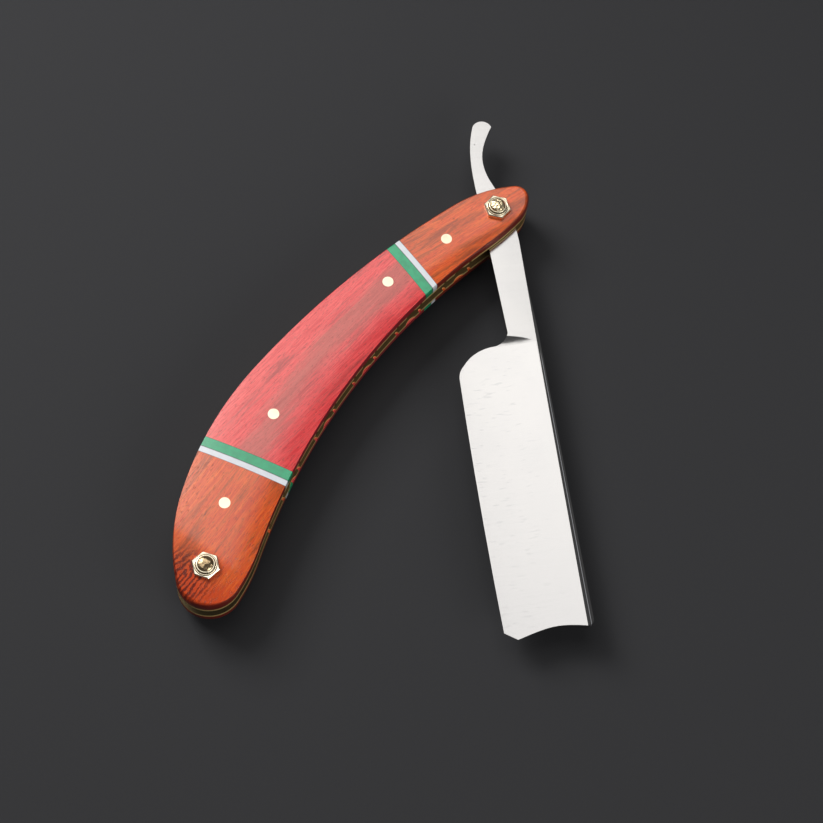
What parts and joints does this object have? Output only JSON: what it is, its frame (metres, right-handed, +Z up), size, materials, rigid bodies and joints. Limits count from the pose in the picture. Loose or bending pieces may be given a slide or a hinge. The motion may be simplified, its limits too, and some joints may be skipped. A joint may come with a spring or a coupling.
{
  "type": "straight razor",
  "caption": "Open straight razor: notched steel blade pivoting between two curved wood scales on brass liners, with white and green spacers.",
  "frame": {"origin": "the pivot axis where it meets the flat land of the back pivot pin head, on which the razor lies", "axes": "+X from the pivot pin to the tail pin, +Y towards the hollow side of the handle where the blade opens, +Z up through the thickness"},
  "size_m": [0.1749, 0.1188, 0.0178],
  "materials": {
    "orange_wood": "polished orange red hardwood",
    "red_wood": "polished red dyed hardwood",
    "white_spacer": "polished",
    "green_spacer": "polished",
    "brass": "polished, filed edge",
    "blade_steel": "ground and polished"
  },
  "bodies": {
    "handle": {"front_liner": "brass", "front_pivot_end_wood": "orange_wood", "front_pivot_white_spacer": "white_spacer", "front_pivot_green_spacer": "green_spacer", "front_centre_wood": "red_wood", "front_tail_green_spacer": "green_spacer", "front_tail_white_spacer": "white_spacer", "front_tail_end_wood": "orange_wood", "front_scale_pins": "brass", "front_pivot_hex_collar": "brass", "front_pivot_rosette": "brass", "front_tail_hex_collar": "brass", "front_tail_rosette": "brass", "front_pivot_washer": "brass", "back_liner": "brass", "back_pivot_end_wood": "orange_wood", "back_pivot_white_spacer": "white_spacer", "back_pivot_green_spacer": "green_spacer", "back_centre_wood": "red_wood", "back_tail_green_spacer": "green_spacer", "back_tail_white_spacer": "white_spacer", "back_tail_end_wood": "orange_wood", "back_scale_pins": "brass", "back_pivot_hex_collar": "brass", "back_pivot_rosette": "brass", "back_tail_hex_collar": "brass", "back_tail_rosette": "brass", "back_pivot_washer": "brass", "pivot_pin": "brass", "tail_pin": "brass", "tail_spacer_tube": "brass"},
    "blade": {"blade": "blade_steel"}
  },
  "joints": [
    {"name": "blade_pivot", "type": "hinge", "parent": "handle", "child": "blade", "pos_m": [0, 0, 0.0089], "axis": [0, 0, 1], "range_deg": [-42, 228]}
  ]
}
